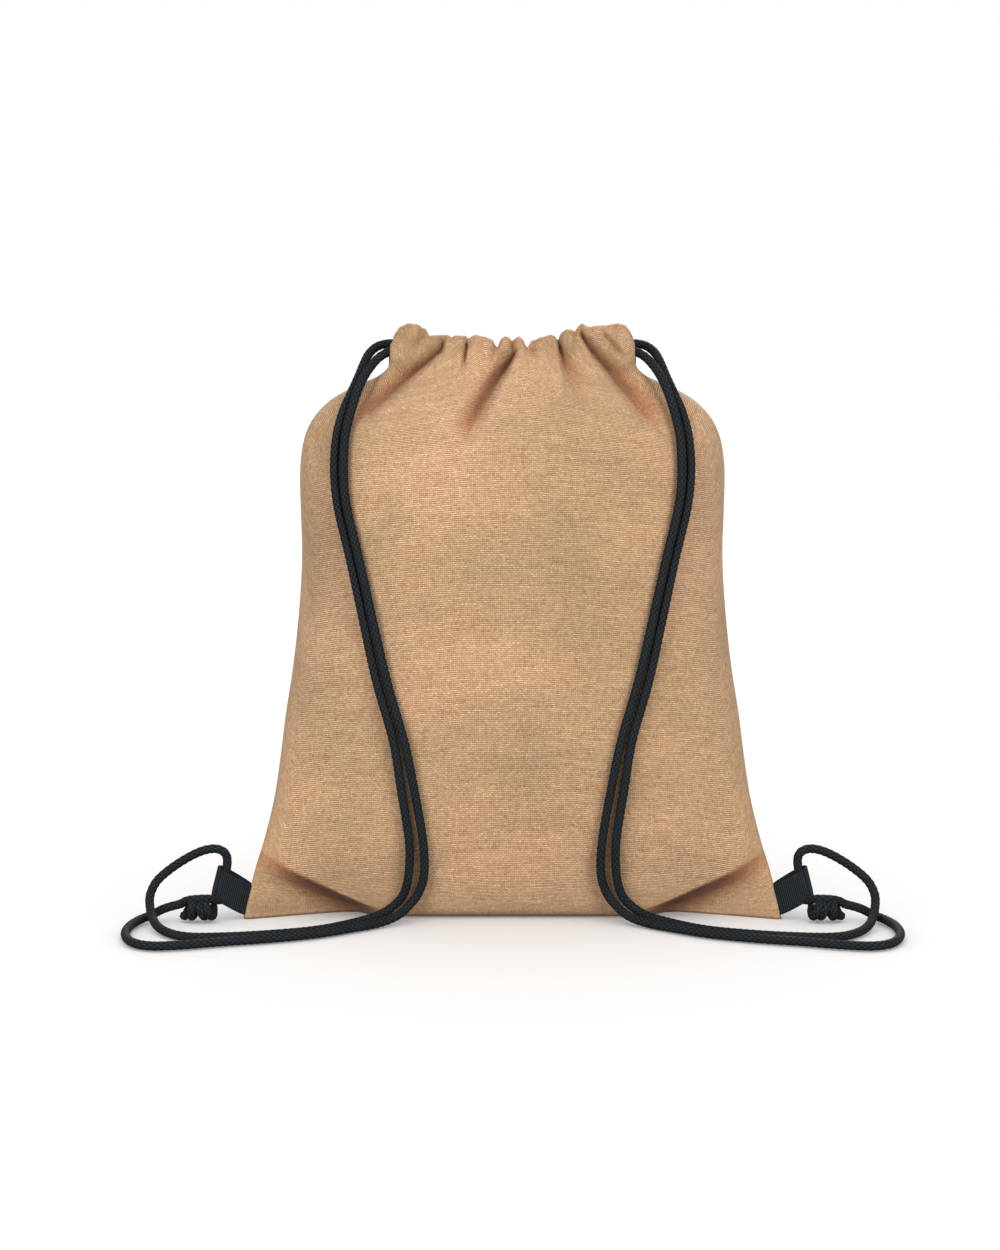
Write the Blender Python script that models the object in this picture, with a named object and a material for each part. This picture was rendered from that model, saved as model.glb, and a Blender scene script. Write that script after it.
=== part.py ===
"""Burlap drawstring sack, standing: two jute panels, two corner tabs, two doubled cords with knots.

Metres, +Z up. The front faces -Y and the sack stands on Z = 0. Each panel is one sheet of cloth:
its bottom edge lies on the floor under the sack, it rises over the full body to the gathered
neck, and its top hem is turned down inside as the casing of the drawcords.
"""
import math

import bmesh
import bpy
from mathutils import Vector

MM = 0.001

# driving dimensions, in millimetres
CLOTH = 2.0                # thickness of the jute
SEAM_GAP = 0.15            # each panel stops this far from the seam between them
FLAP_LOFT = 3.35           # half the thickness of the flat corner flaps
FLAP_RIM = 4.0             # width over which a flap's side edge closes
FLAP_SLOPE = 0.36          # how fast a flap runs back from its corner, mm for each mm inwards
SOFT_MIDDLE = 40.0         # rounds the bottom seam where it crosses the middle
CHANNEL = 13.0             # outside depth of the casing
HEM_FOLD = 5.0             # height of the rounded fold at the top of the casing
HEM_LOW = 391.5            # lowest edge of the turned-down hem
HEM_BEND = 399.0           # where the hem starts to close on the panel
HEM_CLOSED = 4.9           # distance from the panel's face to the hem's face where it is sewn
NECK = 391.0               # height of the neck, where the casing starts
WEBBING = 1.4              # thickness of the tabs
TAB_ROOT = (2.5, 23.5)     # heights between which a tab's webbing leaves the side seam
TAB_GAP = 0.6              # from the seam to the webbing
TAB_LIFT = 31.0            # degrees by which a tab rises outwards
TAB_REACH = 20.0           # from the root to the middle of the tab's rounded fold
TAB_LOOP = 5.5             # half the depth of its loop, to the middle of the webbing
CORD = 6.6                 # diameter of the braided cord
SHARP_EDGE = 50.0          # degrees between two faces above which their edge shows
CORD_POINTS = 56           # points along each strand
KNOT_CENTRE = (-222.5, -73.5, 10.0)
KNOT_SIZE = (12.6, 10.5, 9.8)     # half sizes of a knot
KNOT_GROOVE = 0.14         # depth of the grooves between its turns, as a share of its size

# the standing sack, a row for each height:
# (height, half width, half width inside the corner crease, front, back, seam)
SECTIONS = (
    (0.0, 192.0, 97.0, -47.0, 52.0, -62.5),
    (1.5, 191.8, 102.0, -51.5, 57.0, -62.3),
    (4.0, 191.3, 109.0, -55.5, 61.5, -62.0),
    (9.0, 190.3, 127.0, -60.0, 66.0, -61.2),
    (15.0, 188.8, 144.0, -64.0, 69.0, -60.2),
    (24.0, 186.6, 159.0, -68.0, 72.0, -58.6),
    (36.0, 183.6, 169.0, -71.5, 74.5, -56.4),
    (50.0, 179.2, 169.6, -74.0, 76.5, -53.0),
    (66.0, 175.0, 165.7, -76.0, 77.8, -46.5),
    (86.0, 170.8, 161.7, -77.5, 78.4, -38.0),
    (110.0, 167.7, 158.8, -78.5, 78.5, -27.5),
    (140.0, 164.4, 155.7, -78.5, 78.2, -16.0),
    (175.0, 159.3, 150.8, -78.0, 77.5, -7.0),
    (215.0, 155.0, 146.8, -76.5, 76.0, -1.5),
    (255.0, 152.6, 144.5, -74.0, 74.0, 0.0),
    (290.0, 153.3, 145.2, -70.5, 70.5, 0.0),
    (318.0, 153.4, 145.3, -66.0, 66.0, 0.0),
    (338.0, 150.6, 142.6, -60.5, 60.5, 0.0),
    (352.0, 144.7, 137.0, -55.0, 55.0, 0.0),
    (363.0, 135.5, 128.3, -49.5, 49.5, 0.0),
    (371.0, 124.5, 117.9, -44.5, 44.5, 0.0),
    (378.0, 110.0, 104.2, -39.5, 39.5, 0.0),
    (384.0, 96.5, 91.4, -35.0, 35.0, 0.0),
    (391.0, 88.6, 83.9, -30.5, 30.5, 0.0),
    (400.0, 87.2, 82.6, -27.5, 27.5, 0.0),
    (425.0, 87.4, 82.8, -27.0, 27.0, 0.0),
)
HEIGHT, HALF, CREASE, FRONT, BACK, SEAM = range(6)
CREASE_SHARE = 0.8         # share of a panel's columns that lie inside the corner creases
FLAP_TOP = (40.0, 72.0)    # the corner crease fades out between these heights
BODY_ROUND = 2.4           # exponent of the body's cross-section
CREASE_SOFT = 1.4          # softens the step from the body down to a corner flap
NECK_ROUND = 3.0           # and of the casing's, which is flatter
SLIT = (384.0, 397.0)      # the side slit opens between these heights
SLIT_Y = 21.5              # and the casing's ends stand this far from the middle

# gathers along the front casing, left to right:
# (left edge, crest height, dip of the valley at its left edge, crest depth, columns)
FRONT_GATHERS = (
    (-88.0, 421.0, 5.0, 5.0, 6),
    (-61.5, 413.5, 5.0, 6.5, 4),
    (-45.0, 413.5, 3.5, 6.0, 3),
    (-33.0, 414.0, 5.0, 6.0, 6),
    (-11.5, 412.0, 9.0, 4.5, 3),
    (0.0, 412.5, 5.0, 4.5, 3),
    (11.5, 414.0, 9.0, 6.0, 6),
    (33.0, 418.0, 5.0, 6.5, 3),
    (45.0, 421.0, 3.5, 6.5, 4),
    (57.0, 421.0, 4.5, 5.0, 6),
)
BACK_GATHERS = (
    (-88.0, 421.0, 5.0, 5.0, 5),
    (-60.0, 415.0, 5.0, 6.0, 4),
    (-40.0, 413.5, 5.0, 6.5, 4),
    (-19.0, 412.5, 7.0, 5.0, 3),
    (-5.0, 412.0, 7.0, 5.5, 4),
    (14.0, 414.0, 5.0, 6.5, 4),
    (36.0, 414.5, 5.0, 6.0, 4),
    (58.0, 420.5, 4.5, 5.0, 6),
)
GATHER_FADE = (352.0, 398.0)   # the gathers die away downwards between these heights
GATHER_START = 300.0           # the cloth starts to draw together above this height

# main folds: (upper x, upper z, lower x, lower z, half width, depth; a ridge has a negative depth)
FRONT_FOLDS = (
    (-46.5, 409.0, -104.0, 375.0, 7.0, 8.0),
    (-42.0, 402.0, -84.0, 366.0, 8.0, -4.0),
    (1.0, 399.0, -34.0, 346.0, 8.0, 9.0),
    (57.0, 405.0, 104.0, 369.0, 7.0, 8.0),
    (46.0, 404.0, 82.0, 364.0, 8.0, -4.0),
    (-33.5, 408.0, -33.0, 388.0, 4.0, 4.0),
    (33.0, 406.0, 40.0, 378.0, 5.0, 4.0),
)
FOLD_FADE = 0.55               # share of its depth that a fold loses on its way down
BACK_FOLDS = (
    (-41.0, 406.0, -90.0, 366.0, 7.0, 7.0),
    (-4.0, 402.0, 14.0, 346.0, 8.0, 8.0),
    (36.0, 404.0, 92.0, 366.0, 7.0, 7.0),
)

BASE_ROWS = (0.0, 0.5, 1.0)                 # share of the way from the bottom seam to the contact edge
RISE_ROWS = tuple(row[HEIGHT] for row in SECTIONS if 0.0 < row[HEIGHT] <= NECK)
CASING_ROWS = (0.36, 0.72, 1.0)             # share of the casing's height
FOLD_TURNS = (45.0, 90.0, 135.0, 180.0)     # degrees around the fold at its top
HEM_ROWS = (0.5, 1.0)                       # share of the straight inner side of the hem

# the left cord's two strands, from inside the casing to the knot: x, y, z in millimetres.
# strand a leaves the back casing and goes through the tab, strand b leaves the front casing.
STRAND_A = (
    (-77.0, 18.8, 406.0), (-84.0, 16.8, 406.8), (-90.5, 13.6, 406.8), (-97.5, 9.0, 404.9),
    (-103.0, 1.5, 400.0), (-106.6, -8.0, 392.6), (-110.0, -18.0, 383.5), (-114.5, -26.5, 373.0),
    (-120.0, -33.5, 360.0), (-124.5, -40.0, 342.0), (-125.9, -45.5, 318.0), (-123.0, -50.3, 292.0),
    (-114.5, -56.8, 257.0), (-105.3, -64.2, 215.0), (-96.0, -70.9, 173.0), (-84.1, -76.5, 131.0),
    (-78.5, -78.4, 96.0), (-73.2, -78.0, 60.0), (-73.4, -75.8, 36.0), (-77.0, -72.9, 20.5),
    (-84.0, -73.0, 11.6), (-95.0, -79.0, 5.8), (-113.0, -93.0, 3.6), (-136.0, -112.0, 3.5),
    (-166.0, -124.0, 3.5), (-198.0, -131.0, 3.5), (-222.0, -131.5, 3.5), (-237.0, -122.0, 3.6),
    (-247.5, -107.0, 4.6), (-253.5, -91.5, 7.8), (-257.0, -78.0, 13.6), (-257.2, -70.5, 20.0),
    (-252.5, -65.3, 28.5), (-240.1, -62.0, 38.4), (-225.0, -60.6, 46.9), (-213.5, -59.4, 49.7),
    (-206.0, -58.7, 47.0), (-203.8, -58.5, 40.0), (-206.2, -60.1, 26.0), (-209.2, -62.6, 13.0),
)
STRAND_B = (
    (-76.0, -18.8, 402.8), (-83.0, -17.0, 402.8), (-89.5, -14.8, 401.0), (-95.5, -15.6, 397.3),
    (-100.5, -19.0, 391.8), (-105.0, -26.5, 384.8), (-108.5, -32.5, 377.5), (-112.0, -36.0, 367.5),
    (-115.8, -40.5, 354.0), (-118.5, -45.0, 339.0), (-119.0, -50.3, 313.0), (-116.5, -53.5, 292.0),
    (-108.0, -60.0, 257.0), (-98.4, -67.0, 215.0), (-88.5, -73.2, 173.0), (-76.4, -77.8, 131.0),
    (-69.3, -79.4, 96.0), (-63.4, -78.4, 60.0), (-62.6, -76.2, 36.0), (-66.5, -74.6, 21.5),
    (-73.5, -76.0, 12.2), (-82.5, -83.0, 6.0), (-95.0, -93.0, 3.6), (-113.0, -107.0, 3.5),
    (-136.0, -122.5, 3.5), (-166.0, -135.0, 3.5), (-198.0, -144.5, 3.5), (-225.0, -153.5, 3.5),
    (-246.0, -156.0, 3.5), (-260.0, -146.0, 3.5), (-267.5, -126.0, 3.5), (-268.5, -104.0, 3.5),
    (-264.5, -85.0, 3.5), (-257.0, -73.5, 4.6), (-247.5, -69.5, 8.6), (-236.3, -70.6, 12.0),
)

JUTE = (0.66, 0.43, 0.24, 1.0)
BRAID = (0.018, 0.023, 0.026, 1.0)
WEB = (0.014, 0.017, 0.02, 1.0)


def clear_scene():
    """Remove every object of the open scene."""
    for item in list(bpy.data.objects):
        bpy.data.objects.remove(item, do_unlink=True)


def material(name, colour, roughness):
    """A plain Principled material."""
    made = bpy.data.materials.new(name)
    made.use_nodes = True
    shader = made.node_tree.nodes["Principled BSDF"]
    shader.inputs["Base Color"].default_value = colour
    shader.inputs["Roughness"].default_value = roughness
    shader.inputs["Metallic"].default_value = 0.0
    return made


def ease(value, low, high):
    """0 below low, 1 above high, smooth between."""
    share = min(max((value - low) / (high - low), 0.0), 1.0)
    return share * share * (3.0 - 2.0 * share)


def section(z, column):
    """One column of SECTIONS at a height, through a smooth curve."""
    last = len(SECTIONS) - 1
    if z >= SECTIONS[last][HEIGHT]:
        return SECTIONS[last][column]
    low = max(i for i in range(last) if SECTIONS[i][HEIGHT] <= z)
    here = SECTIONS[low]
    above = SECTIONS[low + 1]
    before = SECTIONS[max(low - 1, 0)]
    after = SECTIONS[min(low + 2, last)]
    span = above[HEIGHT] - here[HEIGHT]
    t = (z - here[HEIGHT]) / span                  # cubic curve with slopes from the rows around
    slope_in = (above[column] - before[column]) / (above[HEIGHT] - before[HEIGHT]) * span
    slope_out = (after[column] - here[column]) / (after[HEIGHT] - here[HEIGHT]) * span
    return (
        here[column] * (1.0 + 2.0 * t) * (1.0 - t) ** 2
        + slope_in * t * (1.0 - t) ** 2
        + above[column] * t * t * (3.0 - 2.0 * t)
        + slope_out * t * t * (t - 1.0)
    )


def seam_plane(x, z):
    """Y of the surface between the two panels: flat in the body, slanting in the corner flaps."""
    slope = FLAP_SLOPE * (1.0 - ease(z, *FLAP_TOP))
    inwards = section(z, HALF) - math.hypot(x, SOFT_MIDDLE)
    return section(z, SEAM) + slope * inwards


def bulge(share, power):
    """Rounded cross-section: 1 in the middle, 0 with an upright edge at share 1."""
    return math.sqrt(max(1.0 - abs(share) ** power, 0.0))


def fold_depth(x, z, folds):
    """Sum of the main folds at a point."""
    total = 0.0
    for x0, z0, x1, z1, width, depth in folds:
        run = ((x - x0) * (x1 - x0) + (z - z0) * (z1 - z0)) / ((x1 - x0) ** 2 + (z1 - z0) ** 2)
        along = min(max(run, 0.0), 1.0)
        away = math.hypot(x - x0 - along * (x1 - x0), z - z0 - along * (z1 - z0))
        total += depth * math.exp(-(away / width) ** 2) * (1.0 - FOLD_FADE * along)
    return total


def panel_face(x, z, side):
    """Y of a panel's outer face, without gathers and folds. side is -1 in front, 1 behind."""
    depth = section(z, FRONT if side < 0 else BACK)
    half = section(z, HALF)
    crease = section(z, CREASE)
    middle = seam_plane(x, z)
    slit = ease(z, *SLIT)
    edge = SEAM_GAP + (SLIT_Y - SEAM_GAP) * slit
    power = BODY_ROUND + (NECK_ROUND - BODY_ROUND) * slit
    full = section(z, SEAM) + side * edge
    full += (depth - full) * bulge(x / half, power)
    flat = 1.0 - ease(z, *FLAP_TOP)
    if flat <= 0.0:
        return full
    rim = bulge(max(abs(x) - half + FLAP_RIM, 0.0) / FLAP_RIM, 2.0)
    flap = middle + side * (SEAM_GAP + FLAP_LOFT * rim)
    if abs(x) < crease:
        root = seam_plane(crease, z) + side * (SEAM_GAP + FLAP_LOFT)
        flap = root + (depth - root) * bulge(x / crease, BODY_ROUND) ** CREASE_SOFT
    return full + (flap - full) * flat


def column_table(gathers):
    """For each column of a panel: casing x, crest height and crest depth."""
    ends = [row[0] for row in gathers[1:]] + [-gathers[0][0]]
    dips = [row[2] for row in gathers] + [gathers[0][2]]
    table = []
    for (left, crest, _dip, depth, count), right, dip, next_dip in zip(gathers, ends, dips, dips[1:]):
        for step in range(count):
            share = step / count
            lift = math.sin(math.pi * share) ** 0.6
            valley = dip + (next_dip - dip) * share
            table.append((left + (right - left) * share, crest - valley * (1.0 - lift), depth * lift))
    table.append((ends[-1], gathers[-1][1] - dips[-1], 0.0))
    return table


def column_x(column, count, casing_x, z):
    """X of a column at a height: even along the casing, closer together at the sides below."""
    share = 2.0 * column / count - 1.0
    turn = math.sin(0.5 * math.pi * share)
    outside = round(0.5 * (1.0 - CREASE_SHARE) * count)
    split = math.sin(0.5 * math.pi * (1.0 - 2.0 * outside / count))
    half = section(z, HALF)
    crease = section(z, CREASE)
    if abs(turn) <= split:
        spread = crease * turn / split
    else:
        spread = math.copysign(crease + (half - crease) * (abs(turn) - split) / (1.0 - split), turn)
    gathered = casing_x / abs(FRONT_GATHERS[0][0]) * half
    return spread + (gathered - spread) * ease(z, GATHER_START, NECK)


def panel_points(side, gathers, folds):
    """Rows of points of a panel's outer face, from the bottom seam to the hem's lower edge."""
    table = column_table(gathers)
    count = len(table) - 1
    rows = []
    for share in BASE_ROWS:
        row = []
        for column, (casing_x, _crest, _depth) in enumerate(table):
            x = column_x(column, count, casing_x, 0.0)
            start = seam_plane(x, 0.0) + side * SEAM_GAP
            contact = panel_face(x, 0.0, side)
            if abs(column * 2 - count) == count:
                contact = start + side * 0.5 * FLAP_LOFT
            row.append((x, start + (contact - start) * share, 0.0))
        rows.append(row)
    heights = [(z, 0.0) for z in RISE_ROWS] + [(NECK, share) for share in CASING_ROWS]
    for z_low, share in heights:
        row = []
        for column, (casing_x, crest, depth) in enumerate(table):
            z = z_low + (crest - HEM_FOLD - NECK) * share
            x = column_x(column, count, casing_x, z)
            y = panel_face(x, z, side)
            out = depth * ease(z, *GATHER_FADE) - fold_depth(x, z, folds)
            row.append((x, y + side * out * bulge(x / section(z, HALF), 6.0), z))
        rows.append(row)
    top = rows[-1]
    inner = [panel_face(x, z, side) - side * CHANNEL for x, _y, z in top]
    for turn in FOLD_TURNS:
        angle = math.radians(turn)
        row = []
        for (x, y, z), y_in in zip(top, inner):
            across = 0.5 * (1.0 - math.cos(angle))
            row.append((x, y + (y_in - y) * across, z + HEM_FOLD * math.sin(angle)))
        rows.append(row)
    for share in HEM_ROWS:
        rows.append([(x, y_in, z + (HEM_BEND - z) * share) for (x, _y, z), y_in in zip(top, inner)])
    row = []
    for x, _y, _z in top:
        neck_x = x * section(HEM_LOW, HALF) / section(HEM_BEND, HALF)
        row.append((x, panel_face(neck_x, HEM_LOW, side) - side * HEM_CLOSED, HEM_LOW))
    rows.append(row)
    return rows


def add_object(name, mesh, finish):
    """Link a mesh as a named object with one material."""
    made = bpy.data.objects.new(name, mesh)
    bpy.context.collection.objects.link(made)
    mesh.materials.append(finish)
    mesh.shade_smooth()
    mesh.set_sharp_from_angle(angle=math.radians(SHARP_EDGE))
    return made


def add_panel(name, side, gathers, folds, finish):
    """One panel: a grid laid over its rows of points, thickened inwards, kept on its side of the seam."""
    rows = panel_points(side, gathers, folds)
    columns = len(rows[0])
    shape = bmesh.new()
    bmesh.ops.create_grid(shape, x_segments=columns - 1, y_segments=len(rows) - 1, size=0.5)
    order = sorted(shape.verts, key=lambda vert: (round(vert.co.y, 5), round(vert.co.x, 5)))
    for index, vert in enumerate(order):
        vert.co = Vector(rows[index // columns][index % columns])
    if side > 0:
        bmesh.ops.reverse_faces(shape, faces=shape.faces)
    shape.normal_update()
    outer = {vert: vert.co.copy() for vert in shape.verts}
    bmesh.ops.solidify(shape, geom=shape.faces[:], thickness=CLOTH)
    for vert in shape.verts:
        if vert in outer:
            continue
        limit = seam_plane(vert.co.x, max(vert.co.z, 0.0)) + side * SEAM_GAP
        if vert.co.z < SLIT[1]:
            vert.co.y = side * max(side * vert.co.y, side * limit)
    bmesh.ops.scale(shape, vec=(MM, MM, MM), verts=shape.verts)
    mesh = bpy.data.meshes.new(name)
    shape.to_mesh(mesh)
    shape.free()
    return add_object(name, mesh, finish)


def along_route(route, count):
    """Points read at even steps from a smooth curve through the route's own points."""
    last = len(route) - 1
    points = []
    for step in range(count):
        place = last * step / (count - 1)
        low = min(int(place), last - 1)
        t = place - low
        before, here, after, beyond = (Vector(route[min(max(low + k, 0), last)]) for k in (-1, 0, 1, 2))
        slope_in = (after - before) * 0.5
        slope_out = (beyond - here) * 0.5
        points.append(
            here * (1.0 + 2.0 * t) * (1.0 - t) ** 2
            + slope_in * t * (1.0 - t) ** 2
            + after * t * t * (3.0 - 2.0 * t)
            + slope_out * t * t * (t - 1.0)
        )
    return points


def add_strand(name, route, mirror, finish):
    """One strand of cord: a round tube along its route. mirror is -1 on the right side."""
    curve = bpy.data.curves.new(name, "CURVE")
    curve.dimensions = "3D"
    curve.bevel_depth = 0.5 * CORD * MM
    curve.bevel_resolution = 2
    curve.use_fill_caps = True
    curve.resolution_u = 1
    curve.render_resolution_u = 0
    points = along_route(route, CORD_POINTS)
    line = curve.splines.new("POLY")
    line.points.add(len(points) - 1)
    for point, place in zip(line.points, points):
        point.co = (place.x * mirror * MM, place.y * MM, place.z * MM, 1.0)
    curve.materials.append(finish)
    made = bpy.data.objects.new(name, curve)
    bpy.context.collection.objects.link(made)
    return made


def tab_section():
    """Outline of a folded tab across its width, as (outwards, depth): out along one face and back."""
    middle = [(0.0, -1.0), (5.0, -4.2), (10.0, -5.2), (15.0, -TAB_LOOP)]
    for step in range(9):
        turn = math.radians(-90.0 + 22.5 * step)
        middle.append((TAB_REACH + TAB_LOOP * math.cos(turn), TAB_LOOP * math.sin(turn)))
    middle += [(out, -depth) for out, depth in reversed(middle[:4])]
    faces = {-1: [], 1: []}
    for index, (out, depth) in enumerate(middle):
        before = middle[max(index - 1, 0)]
        after = middle[min(index + 1, len(middle) - 1)]
        run = Vector((after[0] - before[0], after[1] - before[1])).normalized()
        for face, line in faces.items():
            line.append((out + face * run.y * 0.5 * WEBBING, depth - face * run.x * 0.5 * WEBBING))
    return faces[1] + faces[-1][::-1]


def add_tab(name, mirror, finish):
    """A loop of webbing sewn into a bottom corner: its section is drawn out along the side seam."""
    outline = tab_section()
    shape = bmesh.new()
    lift = math.radians(TAB_LIFT)

    def place(out, depth, z):
        away = section(z, HALF) + TAB_GAP + out * math.cos(lift)
        return (-mirror * away * MM, (section(z, SEAM) + depth) * MM, (z + out * math.sin(lift)) * MM)

    low = [shape.verts.new(place(out, depth, TAB_ROOT[0])) for out, depth in outline]
    high = [shape.verts.new(place(out, depth, TAB_ROOT[1])) for out, depth in outline]
    shape.faces.new(low)
    shape.faces.new(high[::-1])
    for index, corner in enumerate(low):
        after = (index + 1) % len(low)
        shape.faces.new((low[after], corner, high[index], high[after]))
    bmesh.ops.recalc_face_normals(shape, faces=shape.faces)
    mesh = bpy.data.meshes.new(name)
    shape.to_mesh(mesh)
    shape.free()
    return add_object(name, mesh, finish)


def add_knot(name, mirror, finish):
    """An overhand knot as one solid: a rounded lump with grooves between its turns."""
    shape = bmesh.new()
    bmesh.ops.create_icosphere(shape, subdivisions=3, radius=1.0)
    for vert in shape.verts:
        x, y, z = vert.co
        upright = math.exp(-((x + 0.1 + 0.35 * z) / 0.2) ** 2) * ease(-z, -0.35, 0.3)
        band = math.exp(-((x - 0.55 * z - 0.35) / 0.16) ** 2) * ease(z, -0.1, 0.3)
        size = 1.0 - KNOT_GROOVE * max(upright, band)
        vert.co = (
            mirror * (KNOT_CENTRE[0] + x * size * KNOT_SIZE[0]) * MM,
            (KNOT_CENTRE[1] + y * size * KNOT_SIZE[1]) * MM,
            (KNOT_CENTRE[2] + z * size * KNOT_SIZE[2]) * MM,
        )
    bmesh.ops.recalc_face_normals(shape, faces=shape.faces)
    mesh = bpy.data.meshes.new(name)
    shape.to_mesh(mesh)
    shape.free()
    return add_object(name, mesh, finish)


def main():
    """Build the sack."""
    clear_scene()
    jute = material("jute", JUTE, 0.95)
    add_panel("front_panel", -1, FRONT_GATHERS, FRONT_FOLDS, jute)
    add_panel("back_panel", 1, BACK_GATHERS, BACK_FOLDS, jute)
    braid = material("braided_cord", BRAID, 0.6)
    webbing = material("webbing", WEB, 0.7)
    for side, mirror in (("left", 1.0), ("right", -1.0)):
        add_tab("tab_" + side, mirror, webbing)
        add_strand("cord_" + side + "_a", STRAND_A, mirror, braid)
        add_strand("cord_" + side + "_b", STRAND_B, mirror, braid)
        add_knot("knot_" + side, mirror, braid)


main()
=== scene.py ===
"""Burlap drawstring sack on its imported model: two panels of woven jute drawn together at the neck,
two doubled braided cords with their knots, and the webbing tabs sewn into the bottom corners.

Laid out as an add-on: settings, one operator for each group of pieces, a panel in the sidebar.
"""

from math import copysign, cos, exp, floor, hypot, pi, radians, sin, sqrt, tanh

import bmesh
import bpy
from bpy.props import FloatProperty, FloatVectorProperty, PointerProperty
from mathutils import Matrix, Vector, noise


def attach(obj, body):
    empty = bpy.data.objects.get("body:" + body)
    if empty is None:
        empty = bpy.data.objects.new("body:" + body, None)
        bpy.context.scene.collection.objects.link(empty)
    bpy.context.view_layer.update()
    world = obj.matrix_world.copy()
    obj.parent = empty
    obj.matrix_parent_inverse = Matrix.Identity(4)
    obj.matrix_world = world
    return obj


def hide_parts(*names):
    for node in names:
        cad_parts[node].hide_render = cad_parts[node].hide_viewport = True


bl_info = {
    "name": "Burlap Drawstring Sack",
    "version": (1, 0, 0),
    "blender": (4, 5, 0),
    "location": "View3D > Sidebar > Sack",
    "description": "Dresses the packed sack in woven jute, braided cord and ribbed webbing",
    "category": "Object",
}

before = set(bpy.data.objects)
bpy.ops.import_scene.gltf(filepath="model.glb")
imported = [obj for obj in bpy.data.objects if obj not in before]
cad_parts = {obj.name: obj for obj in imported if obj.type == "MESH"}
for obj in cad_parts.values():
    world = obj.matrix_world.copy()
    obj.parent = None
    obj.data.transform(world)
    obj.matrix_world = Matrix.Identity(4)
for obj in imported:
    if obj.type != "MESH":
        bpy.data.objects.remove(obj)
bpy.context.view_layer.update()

MM = 0.001

# the standing sack in millimetres, a row for each height:
# (height, half width, half width inside the corner crease, front, back, seam)
SECTIONS = (
    (0, 192, 90, -56.5, 52, -62.5),
    (1.5, 191.8, 95, -61, 57, -62.3),
    (4, 191.3, 103, -64, 61.5, -62),
    (9, 190.3, 122, -66, 66, -61.2),
    (15, 188.8, 139, -67.5, 69, -60.2),
    (24, 186.6, 156, -69.5, 72, -58.6),
    (36, 183.6, 169.5, -71.5, 74.5, -56.4),
    (50, 179.2, 174, -74, 76.5, -53),
    (66, 175, 171, -76, 77.8, -46.5),
    (86, 170.8, 167, -77.5, 78.4, -38),
    (110, 167.7, 164, -78.5, 78.5, -27.5),
    (140, 164.4, 161, -78.5, 78.2, -16),
    (175, 159.3, 156, -78, 77.5, -7),
    (215, 155, 151.5, -76.5, 76, -1.5),
    (255, 152.6, 149, -74, 74, 0),
    (290, 153.3, 149.5, -70.5, 70.5, 0),
    (318, 153.4, 149.5, -66, 66, 0),
    (338, 150.6, 147, -60.5, 60.5, 0),
    (352, 144.7, 141, -55, 55, 0),
    (363, 135.5, 132, -49.5, 49.5, 0),
    (371, 124.5, 121.5, -44.5, 44.5, 0),
    (378, 110, 107.3, -39.5, 39.5, 0),
    (384, 96.5, 94.1, -35, 35, 0),
    (391, 88.6, 86.4, -30.5, 30.5, 0),
    (400, 87.2, 85.1, -27.5, 27.5, 0),
    (425, 87.4, 85.3, -27, 27, 0),
)
HEIGHT, HALF, CREASE, FRONT, BACK, SEAM = range(6)
SEAM_GAP = 0.15  # each panel stops this far from the seam between them
FLAP_LOFT = 3.35  # half the thickness of the flat corner flaps
FLAP_RIM = 4  # width over which a flap's side edge closes
FLAP_SLOPE = 0.36  # how fast a flap runs back from its corner
FLAP_TOP = (20, 52)  # the corner crease fades out between these heights
SOFT_MIDDLE = 40  # rounds the bottom seam where it crosses the middle
CREASE_SHARE = 0.86  # share of a panel's columns inside the corner creases
CREASE_SOFT = 0.8  # softens the step down to a corner flap
BODY_ROUND = 2.4  # exponent of the body's cross-section
NECK_ROUND = 3  # and of the casing's
SLIT = (372, 399)  # the side slit opens between these heights
SLIT_Y = 21.5  # the casing's ends stand this far from the middle
CHANNEL = 13  # outside depth of the casing
NECK = 391  # where the casing starts
HEM_FOLD = 5  # height of the rounded fold at its top
HEM_BEND = 399  # where the hem starts to close on the panel
HEM_LOW = 391.5  # lowest edge of the hem
HEM_CLOSED = 4.9  # from the panel's face to the hem's where it is sewn
GATHER_START = 300  # the cloth draws together above this height

# upper edge of each casing, from side to side: (x, height)
FRONT_EDGE = (
    (-88, 406.6), (-84.3, 415.1), (-80.4, 419.7), (-74, 421.8), (-68.3, 421.1), (-63.4, 417.9),
    (-60.2, 413.1), (-52.8, 413.5), (-45.7, 413.5), (-44, 411.6), (-41.8, 413.3), (-33.3, 413),
    (-31.6, 409.5), (-29.8, 412.6), (-26.6, 413.7), (-20.2, 412.4), (-14.9, 410.5), (-11, 404.5),
    (-8.2, 410.9), (-5, 412.8), (-2.2, 411.6), (-0.4, 408.8), (1.4, 410.9), (4.6, 412.8),
    (7.4, 410.5), (10.6, 404.5), (13.1, 408.4), (20.1, 411.9), (27.2, 413.7), (30.7, 413),
    (32.5, 408.8), (34.6, 414.7), (38.5, 417.6), (42.8, 417.2), (44.9, 415.8), (47, 419.7),
    (50.2, 421.8), (53.4, 419.7), (55.2, 417.9), (58.3, 420), (66.1, 420.4), (76, 421.8),
    (81, 420.4), (84.5, 416.5), (87, 411.6), (88, 405.9),
)
BACK_EDGE = (
    (-88, 407), (-84, 416), (-75, 420), (-64, 418), (-59.5, 411), (-52, 412), (-44, 411.5),
    (-38, 408), (-33, 411), (-25, 410.5), (-17, 409), (-11.3, 402), (-8, 409), (-3, 410),
    (1, 407.5), (5, 410), (8, 408.5), (10.6, 402), (14, 409), (22, 411), (31, 411), (36, 408),
    (41, 415), (47, 413), (56, 419), (62, 418), (74, 420), (84, 416), (88, 407),
)

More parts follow.
